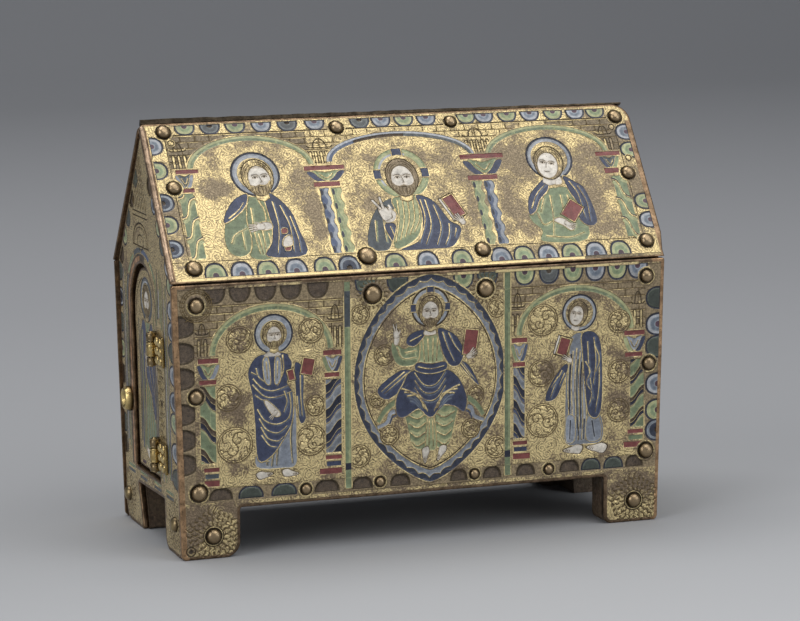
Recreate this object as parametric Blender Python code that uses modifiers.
"""A house-shaped reliquary casket: enamelled copper plates nailed on a hollow core of dark boards, with a hinged door.

World axes: +X along the casket to the right, +Y from the front to the back, +Z up. The origin is on the ground
under the middle of the whole casket. Each face has a frame of its own: u along the face, v up it, n outwards.
"""

import math

import bmesh
import bpy
from mathutils import Matrix, Vector

MM = 0.001

# The box.
WIDTH = 180.0 * MM  # the front plate at the eaves
BASE_WIDTH = 175.5 * MM  # the front plate at the ground
DEPTH = 76.3 * MM
EAVES = 94.5 * MM
RIDGE = 146.2 * MM
END_AT_GROUND = 87.45 * MM  # the left gable's outer face, from the middle
END_AT_RIDGE = 89.6 * MM
CENTRE_X = 0.4 * MM  # puts the origin in the middle, between the hinges on the left and the roof's edge on the right

# Thicknesses and seams.
PLATE = 2.0 * MM
BOARD = 8.5 * MM
SEAT = 0.15 * MM  # between two pieces that lie against each other
SEAM = 0.5 * MM  # the open joint under the eaves
ARRIS = 0.5 * MM  # the plates' worn outer edges

# The feet.
FOOT_HEIGHT = 17.0 * MM
FOOT_WIDTH = 20.7 * MM
GABLE_FOOT_FRONT = 22.0 * MM
GABLE_FOOT_BACK_TOP = 20.3 * MM
GABLE_FOOT_BACK_BOTTOM = 25.0 * MM

# The roof's front plate.
ROOF_RIGHT_EDGE = 91.3 * MM
ROOF_OVERHANG_BACK = 1.8 * MM
RIDGE_SKEW = 0.6 * MM  # the back roof plate stands higher at the left end

# The door and its opening. Their middle is a little behind the gable's own.
DOOR_MIDDLE = -4.5 * MM
DOOR_HALF_WIDTH = 16.0 * MM
DOOR_SILL = 22.0 * MM
DOOR_SPRING = 80.0 * MM
DOOR_RECESS = 1.2 * MM
DOOR_PLATE = 2.0 * MM
DOOR_GAP_HINGE = 0.4 * MM
DOOR_GAP_FREE = 1.0 * MM
DOOR_STOP = 3.0 * MM  # width of the wooden rebate behind the door's edge

# The hinges, measured from the door's middle. Their axis is outside the face, at the front jamb.
AXIS_U = 17.15 * MM
AXIS_N = 1.9 * MM
KNUCKLE_RADIUS = 1.75 * MM
BARREL_LENGTH = 11.5 * MM
END_KNUCKLE = 2.9 * MM
KNUCKLE_GAP = 0.3 * MM
PIN_RADIUS = 0.75 * MM
PIN_PLAY = 0.2 * MM
LEAF_WIDTH = 8.6 * MM
LEAF_HEIGHT = 10.5 * MM
LEAF_THICKNESS = 1.0 * MM
LEAF_LUMP = 1.75 * MM
LUMP_SQUASH = 0.55
HINGE_HEIGHTS = {"upper": 69.0 * MM, "lower": 32.0 * MM}

# The lock boss, a ring round a hollow.
BOSS_U = -25.6 * MM
BOSS_HEIGHT = 45.0 * MM
BOSS_RADIUS = 4.5 * MM
BOSS_RISE = 2.6 * MM

# The nails' heads, radius and rise.
NAIL_LARGE = (3.05 * MM, 2.2 * MM)
NAIL_SMALL = (1.9 * MM, 1.3 * MM)
NAIL_STEPS = 14

FRONT_LARGE_NAILS = (
    (-81.5, 87.0), (-19.0, 87.4), (22.3, 87.0), (83.0, 88.0),
    (-82.0, 56.0), (84.0, 56.8), (-81.5, 23.0), (83.0, 25.5),
    (-76.6, 7.8), (78.5, 7.8),
)
FRONT_SMALL_NAILS = ((-43.6, 21.5), (-16.8, 22.0), (18.0, 22.0), (45.9, 21.5))
ROOF_NAILS = (
    (-82.1, 59.0), (-19.9, 58.2), (22.6, 58.6), (85.6, 57.8), (-82.3, 37.0),
    (84.8, 34.5), (-81.0, 5.8), (-19.4, 6.9), (22.9, 7.0), (84.8, 6.9),
)
GABLE_NAILS = ((29.5, 11.0), (-31.0, 9.5))
BACK_NAILS = ((-81.0, 86.5), (81.0, 86.5), (-81.0, 24.0), (81.0, 24.0), (-77.0, 7.8), (77.0, 7.8))
BACK_ROOF_NAILS = ((-81.5, 58.0), (81.5, 58.0), (-81.5, 6.5), (81.5, 6.5))
RIGHT_GABLE_NAILS = ((-29.5, 10.0), (29.5, 10.0))

SLOPE = math.atan2(RIDGE - EAVES, DEPTH / 2)
SLOPE_LENGTH = math.hypot(RIDGE - EAVES, DEPTH / 2)
LEAN = math.atan2(END_AT_RIDGE - END_AT_GROUND, RIDGE)
GABLE_HALF = DEPTH / 2 - PLATE - SEAT
WALL_TOP = EAVES + 0.1 * MM - SEAM
ROOF_PLATE_TOP = SLOPE_LENGTH - PLATE / math.sin(math.pi - 2 * SLOPE) - SEAT


# ---- the scene, its collections and materials ----

def clear_scene():
    for thing in list(bpy.data.objects):
        bpy.data.objects.remove(thing, do_unlink=True)


def new_collection(name):
    collection = bpy.data.collections.new(name)
    bpy.context.scene.collection.children.link(collection)
    return collection


def material(name, colour, metallic, roughness):
    made = bpy.data.materials.new(name)
    made.use_nodes = True
    shader = made.node_tree.nodes["Principled BSDF"]
    shader.inputs["Base Color"].default_value = (*colour, 1.0)
    shader.inputs["Metallic"].default_value = metallic
    shader.inputs["Roughness"].default_value = roughness
    made.diffuse_color = (*colour, 1.0)
    return made


def face_frame(name, origin, u, v):
    """An empty whose local X, Y and Z are the face's u, v and outward n."""
    u = Vector(u).normalized()
    v = Vector(v).normalized()
    n = u.cross(v)
    empty = bpy.data.objects.new(name, None)
    matrix = Matrix((u, v, n)).transposed().to_4x4()
    matrix.translation = Vector(origin) + Vector((CENTRE_X, 0.0, 0.0))
    empty.matrix_world = matrix
    CASKET.objects.link(empty)
    return empty


# ---- small shape tools ----

def arc(centre, radius, start, end, steps):
    """Points round a centre, with angles in degrees and both ends included."""
    points = []
    for step in range(steps + 1):
        angle = math.radians(start + (end - start) * step / steps)
        points.append((centre[0] + radius * math.cos(angle), centre[1] + radius * math.sin(angle)))
    return points


def rounded(corners, radii, steps=4):
    """A closed outline through the corners, each one rounded with its own radius."""
    points = []
    for index, corner in enumerate(corners):
        here = Vector(corner)
        before = (Vector(corners[index - 1]) - here).normalized()
        after = (Vector(corners[(index + 1) % len(corners)]) - here).normalized()
        radius = radii[index]
        if radius == 0:
            points.append(tuple(here))
            continue
        half = before.angle(after) / 2
        reach = radius / math.tan(half)
        centre = here + (before + after).normalized() * (radius / math.sin(half))
        first = here + before * reach - centre
        turn = first.angle_signed(here + after * reach - centre)
        for step in range(steps + 1):
            spoke = first.copy()
            spoke.rotate(Matrix.Rotation(-turn * step / steps, 2))
            points.append(tuple(centre + spoke))
    return points


def arch_outline(half_width, sill, spring, steps=16):
    """A round-headed doorway about the door's middle."""
    head = arc((DOOR_MIDDLE, spring), half_width, 0, 180, steps)
    return [(DOOR_MIDDLE + half_width, sill)] + head + [(DOOR_MIDDLE - half_width, sill)]


def prism(name, outlines, low, high):
    """A mesh object between n = low and n = high, from a flat outline and any holes inside it."""
    curve = bpy.data.curves.new(name, "CURVE")
    curve.dimensions = "2D"
    curve.fill_mode = "BOTH"
    curve.extrude = (high - low) / 2
    for outline in outlines:
        spline = curve.splines.new("POLY")
        spline.points.add(len(outline) - 1)
        for point, (u, v) in zip(spline.points, outline):
            point.co = (u, v, 0.0, 1.0)
        spline.use_cyclic_u = True
    guide = bpy.data.objects.new(name, curve)
    bpy.context.scene.collection.objects.link(guide)
    mesh = evaluated_mesh(guide, name)
    bpy.data.objects.remove(guide)
    work = bmesh.new()
    work.from_mesh(mesh)
    bmesh.ops.remove_doubles(work, verts=work.verts, dist=0.001 * MM)
    bmesh.ops.recalc_face_normals(work, faces=work.faces)
    bmesh.ops.translate(work, verts=work.verts, vec=(0.0, 0.0, (low + high) / 2))
    work.to_mesh(mesh)
    work.free()
    return bpy.data.objects.new(name, mesh)


def evaluated_mesh(thing, name):
    """The object's mesh with its modifiers applied, as new data."""
    graph = bpy.context.evaluated_depsgraph_get()
    graph.update()
    mesh = bpy.data.meshes.new_from_object(thing.evaluated_get(graph), depsgraph=graph)
    mesh.name = name
    return mesh


def cut_away(thing, point, normal):
    """Cuts off what is on the normal's side of a plane, in the object's own frame, and closes the cut."""
    work = bmesh.new()
    work.from_mesh(thing.data)
    geometry = work.verts[:] + work.edges[:] + work.faces[:]
    found = bmesh.ops.bisect_plane(
        work, geom=geometry, plane_co=point, plane_no=normal, clear_outer=True, dist=0.0001 * MM
    )
    edges = [part for part in found["geom_cut"] if isinstance(part, bmesh.types.BMEdge)]
    bmesh.ops.contextual_create(work, geom=edges)
    bmesh.ops.recalc_face_normals(work, faces=work.faces)
    work.to_mesh(thing.data)
    work.free()


def cutter(thing, frame):
    """Puts a helper in the face's frame, out of every render."""
    CUTTERS.objects.link(thing)
    thing.parent = frame
    thing.hide_render = True
    thing.display_type = "WIRE"
    return thing


def place(thing, frame, finish):
    """Puts a finished piece in the face's frame."""
    CASKET.objects.link(thing)
    thing.parent = frame
    thing.data.materials.clear()
    thing.data.materials.append(finish)
    return thing


def subtract(thing, other):
    modifier = thing.modifiers.new("cut", "BOOLEAN")
    modifier.operation = "DIFFERENCE"
    modifier.object = other


def unite(thing, other):
    modifier = thing.modifiers.new("join", "BOOLEAN")
    modifier.operation = "UNION"
    modifier.object = other


def soften(thing, width=ARRIS):
    """Bevels the long edges of a plate."""
    modifier = thing.modifiers.new("arris", "BEVEL")
    modifier.width = width
    modifier.segments = 1
    modifier.limit_method = "ANGLE"
    modifier.angle_limit = math.radians(50)


def turned(name, profile, steps):
    """A solid of revolution about its own n axis. The profile runs down the outer side, as (radius, height)."""
    mesh = bpy.data.meshes.new(name)
    points = [(radius, 0.0, height) for radius, height in profile]
    edges = [(index, index + 1) for index in range(len(points) - 1)]
    mesh.from_pydata(points, edges, [])
    thing = bpy.data.objects.new(name, mesh)
    screw = thing.modifiers.new("turn", "SCREW")
    screw.axis = "Z"
    screw.steps = steps
    screw.render_steps = steps
    screw.use_merge_vertices = True
    screw.merge_threshold = 0.0001 * MM
    return thing


def tube(name, radius, bore, low, high, steps=20):
    """A knuckle along local Y, as a ring prism standing on its end."""
    outer = arc((0.0, 0.0), radius, 0, 360 - 360 / steps, steps - 1)
    inner = arc((0.0, 0.0), bore, 0, 360 - 360 / steps, steps - 1)
    ring = prism(name, [outer, inner] if bore else [outer], low, high)
    ring.data.transform(Matrix.Rotation(math.radians(-90), 4, "X"))
    return ring


# ---- the plates ----

def footed_outline(top, inner_low_radius, outer_low_radius, bottom_half, top_half):
    """A plate that narrows downwards, on two feet."""
    inner = bottom_half - FOOT_WIDTH
    corners = [
        (top_half, top), (-top_half, top), (-bottom_half, 0.0), (-inner, 0.0),
        (-inner, FOOT_HEIGHT), (inner, FOOT_HEIGHT), (inner, 0.0), (bottom_half, 0.0),
    ]
    small = 0.8 * MM
    radii = [
        small, small, outer_low_radius, inner_low_radius,
        small, small, 0.55 * inner_low_radius, outer_low_radius,
    ]
    return rounded(corners, radii)


def wall_plate(name, frame, finish):
    share = WALL_TOP / EAVES
    top_half = (BASE_WIDTH + (WIDTH - BASE_WIDTH) * share) / 2
    outline = footed_outline(WALL_TOP, 5.5 * MM, 1.8 * MM, BASE_WIDTH / 2, top_half)
    plate = prism(name, [outline], -PLATE, 0.0)
    soften(plate)
    return place(plate, frame, finish)


def front_roof_plate(frame, finish):
    left = -WIDTH / 2
    start = -3.0 * MM
    corners = [
        (left, ROOF_PLATE_TOP), (left, start), (WIDTH / 2, start), (WIDTH / 2, 3.0 * MM),
        (ROOF_RIGHT_EDGE, 10.0 * MM), (ROOF_RIGHT_EDGE, ROOF_PLATE_TOP),
    ]
    outline = rounded(corners, [1.6 * MM, 0.0, 0.0, 0.0, 0.0, 6.5 * MM])
    plate = prism("roof_front_plate", [outline], -PLATE, 0.0)
    level_cut(plate, 0.1 * MM)
    back_normal = (0.0, math.sin(2 * SLOPE), math.cos(2 * SLOPE))
    cut_away(plate, (0.0, ROOF_PLATE_TOP, 0.0), back_normal)
    soften(plate)
    return place(plate, frame, finish)


def back_roof_plate(frame, finish):
    half = WIDTH / 2
    start = -6.0 * MM
    corners = [
        (half, SLOPE_LENGTH + RIDGE_SKEW), (-half, SLOPE_LENGTH - RIDGE_SKEW),
        (-half, start), (half, start),
    ]
    outline = rounded(corners, [2.5 * MM, 2.5 * MM, 0.0, 0.0])
    plate = prism("roof_back_plate", [outline], -PLATE, 0.0)
    level_cut(plate, -ROOF_OVERHANG_BACK * math.sin(SLOPE))
    soften(plate)
    return place(plate, frame, finish)


def level_cut(plate, height):
    """Trims a sloping plate's lower end level, at a height above the eaves."""
    downwards = (0.0, -math.sin(SLOPE), -math.cos(SLOPE))
    cut_away(plate, (0.0, height / math.sin(SLOPE), 0.0), downwards)


def under_roof(offset, v_at_middle=RIDGE):
    """The pentagon's slopes, set in from the roof's outer planes: (v at the middle line, fall per unit of u)."""
    return v_at_middle - offset / math.cos(SLOPE), math.tan(SLOPE)


def gable_outline():
    """A gable plate on two feet, under the roof plates. u runs to the back on the right gable."""
    peak, fall = under_roof(PLATE + SEAT)
    half = GABLE_HALF
    return [
        (half, peak - fall * half), (0.0, peak), (-half, peak - fall * half),
        (-half, 0.0),
        (-half + GABLE_FOOT_BACK_BOTTOM - 2 * MM, 0.0),
        (-half + GABLE_FOOT_BACK_TOP - 2 * MM, FOOT_HEIGHT - 0.8 * MM),
        (half - GABLE_FOOT_FRONT + 2 * MM, FOOT_HEIGHT),
        (half - GABLE_FOOT_FRONT + 2 * MM, 0.0),
        (half, 0.0),
    ]


GABLE_RADII = [0.4 * MM, 0.8 * MM, 0.4 * MM, 6.0 * MM, 1.0 * MM, 0.8 * MM, 0.8 * MM, 4.5 * MM, 2.0 * MM]


def left_gable_plate(frame, finish):
    outline = rounded(gable_outline(), GABLE_RADII)
    doorway = arch_outline(DOOR_HALF_WIDTH, DOOR_SILL, DOOR_SPRING)
    plate = prism("left_gable_plate", [outline, doorway], -PLATE, 0.0)
    soften(plate, 0.35 * MM)
    return place(plate, frame, finish)


def right_gable_plate(frame, finish):
    outline = [(-u, v) for u, v in reversed(rounded(gable_outline(), GABLE_RADII))]
    plate = prism("right_gable_plate", [outline], -PLATE, 0.0)
    soften(plate, 0.35 * MM)
    return place(plate, frame, finish)


# ---- the wooden core ----

def wall_board(name, frame, finish):
    """The front or back board, with feet, its top bevelled to the roof boards' underside."""
    half = END_AT_GROUND - PLATE - SEAT
    inner = BASE_WIDTH / 2 - FOOT_WIDTH
    outer = -PLATE - SEAT
    outline = rounded(
        [
            (half, EAVES), (-half, EAVES), (-half, 0.0), (-inner, 0.0),
            (-inner, FOOT_HEIGHT + 0.3 * MM), (inner, FOOT_HEIGHT + 0.3 * MM), (inner, 0.0), (half, 0.0),
        ],
        [0.0, 0.0, 1.5 * MM, 5.5 * MM, 0.0, 0.0, 3.0 * MM, 1.5 * MM],
    )
    board = prism(name, [outline], outer - BOARD, outer)
    drop = (PLATE + 2 * SEAT + BOARD) / math.cos(SLOPE)
    cut_away(board, (0.0, EAVES - drop, 0.0), (0.0, math.cos(SLOPE), math.sin(SLOPE)))
    return place(board, frame, finish)


def gable_board_outline(half):
    """The end board between the front and back boards, with its own feet."""
    peak, fall = under_roof(PLATE + 2 * SEAT + BOARD)
    return [
        (half, peak - fall * half), (0.0, peak), (-half, peak - fall * half),
        (-half, 0.0),
        (-half + 15.5 * MM, 0.0),
        (-half + 11.0 * MM, FOOT_HEIGHT),
        (half - 11.2 * MM, FOOT_HEIGHT + 0.3 * MM),
        (half - 11.2 * MM, 0.0),
        (half, 0.0),
    ]


def left_board(frame, finish):
    half = DEPTH / 2 - PLATE - 2 * SEAT - BOARD
    outline = rounded(gable_board_outline(half), [0.0, 0.0, 0.0, 1.0 * MM, 1.0 * MM, 0.0, 0.0, 3.0 * MM, 0.0])
    inside = DOOR_HALF_WIDTH - DOOR_STOP
    doorway = arch_outline(inside, DOOR_SILL + DOOR_STOP, DOOR_SPRING)
    outer = -PLATE - SEAT
    board = prism("core_left_board", [outline, doorway], outer - BOARD, outer)
    rebate = arch_outline(DOOR_HALF_WIDTH + 0.4 * MM, DOOR_SILL - 0.4 * MM, DOOR_SPRING)
    depth = DOOR_RECESS + DOOR_PLATE + SEAT
    pocket = prism("door_rebate_cutter", [rebate], -depth, 1.0 * MM)
    subtract(board, cutter(pocket, frame))
    return place(board, frame, finish)


def right_board(frame, finish):
    half = DEPTH / 2 - PLATE - 2 * SEAT - BOARD
    outline = [(-u, v) for u, v in reversed(gable_board_outline(half))]
    outer = -PLATE - SEAT
    board = prism("core_right_board", [outline], outer - BOARD, outer)
    return place(board, frame, finish)


def floor_board(frame, finish):
    half = END_AT_GROUND - PLATE - 2 * SEAT - BOARD - 0.3 * MM
    deep = DEPTH / 2 - PLATE - 2 * SEAT - BOARD
    low = FOOT_HEIGHT + 0.3 * MM
    outline = [(half, low), (half, low + 7.0 * MM), (-half, low + 7.0 * MM), (-half, low)]
    outer = -DEPTH / 2 + deep
    board = prism("core_floor_board", [outline], outer - 2 * deep, outer)
    return place(board, frame, finish)


def roof_board(name, frame, finish):
    """A roof board, cut upright at the eaves and mitred at the ridge."""
    half = END_AT_GROUND - PLATE - 0.4 * MM
    outline = [(half, -20 * MM), (half, 90 * MM), (-half, 90 * MM), (-half, -20 * MM)]
    outer = -PLATE - SEAT
    board = prism(name, [outline], outer - BOARD, outer)
    forwards = (0.0, -math.cos(SLOPE), math.sin(SLOPE))
    backwards = (0.0, math.cos(SLOPE), -math.sin(SLOPE))
    inset = PLATE + SEAT
    cut_away(board, (0.0, inset / math.cos(SLOPE), 0.0), forwards)
    cut_away(board, (0.0, (DEPTH / 2 - SEAT / 2) / math.cos(SLOPE), 0.0), backwards)
    return place(board, frame, finish)


# ---- the door and its fittings ----

def door_plate(frame, finish):
    hinge_side = DOOR_HALF_WIDTH - DOOR_GAP_HINGE
    free_side = -DOOR_HALF_WIDTH + DOOR_GAP_FREE
    low = DOOR_SILL + 0.5 * MM
    radius = (hinge_side - free_side) / 2
    middle = (hinge_side + free_side) / 2
    head = arc((middle, DOOR_SPRING - 0.6 * MM), radius, 0, 180, 16)
    outline = [(hinge_side, low)] + head + [(free_side, low)]
    plate = prism("door_plate", [outline], -DOOR_RECESS - DOOR_PLATE, -DOOR_RECESS)
    soften(plate, 0.3 * MM)
    return place(plate, frame, finish)


def lump(frame, u, v, radius, base, squash):
    """A low dome, as a helper that is united with its leaf."""
    mesh = bpy.data.meshes.new("lump")
    work = bmesh.new()
    bmesh.ops.create_uvsphere(work, u_segments=12, v_segments=6, radius=radius)
    bmesh.ops.scale(work, verts=work.verts, vec=(1.0, 1.0, squash))
    bmesh.ops.translate(work, verts=work.verts, vec=(u, v, base))
    work.to_mesh(mesh)
    work.free()
    return cutter(bpy.data.objects.new("lump", mesh), frame)


def frame_leaf(which, height, frame, finish):
    """The gilt leaf on the gable: a lobed plate with six lumps, and the middle knuckle."""
    first = AXIS_U + KNUCKLE_RADIUS + 0.35 * MM
    last = first + LEAF_WIDTH
    half = LEAF_HEIGHT / 2
    edge = 0.8 * MM
    outline = rounded(
        [(last - edge, height + half - edge), (first + edge, height + half - edge),
         (first + edge, height - half + edge), (last - edge, height - half + edge)],
        [1.4 * MM] * 4,
    )
    base = SEAT
    leaf = prism(f"hinge_{which}_frame_leaf", [outline], base, base + LEAF_THICKNESS)
    middle = BARREL_LENGTH / 2 - END_KNUCKLE - KNUCKLE_GAP
    knuckle = tube("knuckle", KNUCKLE_RADIUS, PIN_RADIUS + PIN_PLAY, -middle, middle)
    knuckle.data.transform(Matrix.Translation((AXIS_U, height, AXIS_N)))
    reach = AXIS_U + PIN_RADIUS + PIN_PLAY + 0.25 * MM
    neck_outline = [
        (reach, height - middle), (first + 2 * MM, height - middle),
        (first + 2 * MM, height + middle), (reach, height + middle),
    ]
    neck = prism("neck", [neck_outline], base, base + 1.5 * MM)
    unite(leaf, cutter(neck, frame))
    unite(leaf, cutter(knuckle, frame))
    for column in range(2):
        for row in range(3):
            u = first + LEAF_WIDTH * (0.28 + 0.45 * column)
            v = height + LEAF_HEIGHT * 0.31 * (row - 1)
            unite(leaf, lump(frame, u, v, LEAF_LUMP, base + LEAF_THICKNESS, LUMP_SQUASH))
    return place(leaf, frame, finish)


def door_leaf(which, height, frame, finish):
    """The leaf on the door: a strap under the barrel, with the two outer knuckles."""
    base = -DOOR_RECESS + SEAT
    half = BARREL_LENGTH / 2
    far = AXIS_U - 11.0 * MM
    near = AXIS_U - KNUCKLE_RADIUS - 0.3 * MM
    outline = rounded(
        [(near, height + half), (far, height + half), (far, height - half), (near, height - half)],
        [0.0, 1.5 * MM, 1.5 * MM, 0.0],
    )
    leaf = prism(f"hinge_{which}_door_leaf", [outline], base, base + 1.1 * MM)
    for side in (-1, 1):
        low = height + side * (half - END_KNUCKLE / 2) - END_KNUCKLE / 2
        knuckle = tube(
            "knuckle", KNUCKLE_RADIUS, PIN_RADIUS + PIN_PLAY, low, low + END_KNUCKLE
        )
        knuckle.data.transform(Matrix.Translation((AXIS_U, 0.0, AXIS_N)))
        reach = AXIS_U - PIN_RADIUS - PIN_PLAY - 0.25 * MM
        high = low + END_KNUCKLE
        web_outline = [(reach, low), (reach, high), (near - 1.5 * MM, high), (near - 1.5 * MM, low)]
        web = prism("web", [web_outline], base + 0.45 * MM, base + 2.4 * MM)
        unite(leaf, cutter(knuckle, frame))
        unite(leaf, cutter(web, frame))
    return place(leaf, frame, finish)


def hinge_pin(which, height, frame, finish):
    half = BARREL_LENGTH / 2 + 0.5 * MM
    pin = tube(f"hinge_{which}_pin", PIN_RADIUS, 0.0, height - half, height + half, 16)
    pin.location = (AXIS_U, 0.0, AXIS_N)
    return place(pin, frame, finish)


def lock_boss(frame, finish):
    """A domed ring round a hollow."""
    rim = BOSS_RADIUS
    profile = [
        (0.0, 0.35 * BOSS_RISE), (0.30 * rim, 0.38 * BOSS_RISE), (0.42 * rim, 0.85 * BOSS_RISE),
        (0.58 * rim, BOSS_RISE), (0.80 * rim, 0.80 * BOSS_RISE), (0.95 * rim, 0.40 * BOSS_RISE),
        (rim, 0.12 * BOSS_RISE), (rim, 0.0), (0.0, 0.0),
    ]
    boss = turned("lock_boss", profile, 24)
    boss.location = (BOSS_U, BOSS_HEIGHT, SEAT)
    return place(boss, frame, finish)


# ---- the nails ----

def nail(name, size, u, v, frame, finish):
    """A domed head that lies on its plate."""
    radius, rise = size
    profile = [(0.0, rise)]
    for angle in (62, 38, 14):
        turn = math.radians(angle)
        profile.append((radius * math.cos(turn), rise * math.sin(turn)))
    profile += [(radius, 0.0), (0.0, 0.0)]
    head = turned(name, profile, NAIL_STEPS)
    head.location = (u * MM, v * MM, SEAT / 2)
    return place(head, frame, finish)


def nails(prefix, places, size, frame, finish):
    for number, (u, v) in enumerate(places, start=1):
        nail(f"{prefix}_nail_{number:02d}", size, u, v, frame, finish)


# ---- the casket ----

def build():
    wood = material("dark_wood", (0.045, 0.028, 0.018), 0.0, 0.7)
    front_copper = material("enamelled_front", (0.30, 0.24, 0.12), 0.8, 0.45)
    roof_copper = material("enamelled_roof", (0.55, 0.42, 0.16), 0.9, 0.38)
    gable_copper = material("enamelled_gable", (0.20, 0.17, 0.10), 0.6, 0.5)
    back_copper = material("enamelled_back", (0.16, 0.13, 0.08), 0.6, 0.5)
    gilt = material("gilt_fittings", (0.75, 0.55, 0.20), 1.0, 0.25)
    brown = material("brown_nails", (0.35, 0.20, 0.11), 1.0, 0.32)

    half = DEPTH / 2
    leaning = (math.sin(LEAN), 0.0, math.cos(LEAN))
    front = face_frame("front_face", (0.0, -half, 0.0), (1, 0, 0), (0, 0, 1))
    back = face_frame("back_face", (0.0, half, 0.0), (-1, 0, 0), (0, 0, 1))
    left = face_frame("left_face", (-END_AT_GROUND, 0.0, 0.0), (0, -1, 0), (-leaning[0], 0.0, leaning[2]))
    doorway = face_frame(
        "doorway", (-END_AT_GROUND, -DOOR_MIDDLE, 0.0), (0, -1, 0), (-leaning[0], 0.0, leaning[2])
    )
    right = face_frame("right_face", (END_AT_GROUND, 0.0, 0.0), (0, 1, 0), leaning)
    roof_front = face_frame(
        "roof_front_face", (0.0, -half, EAVES), (1, 0, 0), (0.0, math.cos(SLOPE), math.sin(SLOPE))
    )
    roof_back = face_frame(
        "roof_back_face", (0.0, half, EAVES), (-1, 0, 0), (0.0, -math.cos(SLOPE), math.sin(SLOPE))
    )

    wall_board("core_front_board", front, wood)
    wall_board("core_back_board", back, wood)
    left_board(left, wood)
    right_board(right, wood)
    floor_board(front, wood)
    roof_board("core_roof_front_board", roof_front, wood)
    roof_board("core_roof_back_board", roof_back, wood)

    wall_plate("front_plate", front, front_copper)
    back_wall_plate(back, back_copper)
    front_roof_plate(roof_front, roof_copper)
    back_roof_plate(roof_back, back_copper)
    left_gable_plate(left, gable_copper)
    right_gable_plate(right, gable_copper)

    door_plate(doorway, gable_copper)
    for which, height in HINGE_HEIGHTS.items():
        frame_leaf(which, height, doorway, gilt)
        door_leaf(which, height, doorway, gilt)
        hinge_pin(which, height, doorway, brown)
    lock_boss(left, gilt)

    nails("front", FRONT_LARGE_NAILS, NAIL_LARGE, front, brown)
    nails("front_small", FRONT_SMALL_NAILS, NAIL_SMALL, front, brown)
    nails("roof", ROOF_NAILS, NAIL_LARGE, roof_front, brown)
    nails("gable", GABLE_NAILS, NAIL_LARGE, left, gilt)
    nails("back", BACK_NAILS, NAIL_LARGE, back, brown)
    nails("back_roof", BACK_ROOF_NAILS, NAIL_LARGE, roof_back, brown)
    nails("right_gable", RIGHT_GABLE_NAILS, NAIL_LARGE, right, brown)


def back_wall_plate(frame, finish):
    """The back plate is like the front one, with a lower top edge under the overhanging roof plate."""
    top = EAVES - ROOF_OVERHANG_BACK * math.sin(SLOPE) - SEAM
    top_half = (BASE_WIDTH + (WIDTH - BASE_WIDTH) * top / EAVES) / 2
    outline = footed_outline(top, 3.0 * MM, 1.8 * MM, BASE_WIDTH / 2, top_half)
    plate = prism("back_plate", [outline], -PLATE, 0.0)
    soften(plate)
    return place(plate, frame, finish)


clear_scene()
CASKET = new_collection("reliquary_casket")
CUTTERS = new_collection("cutters")
build()
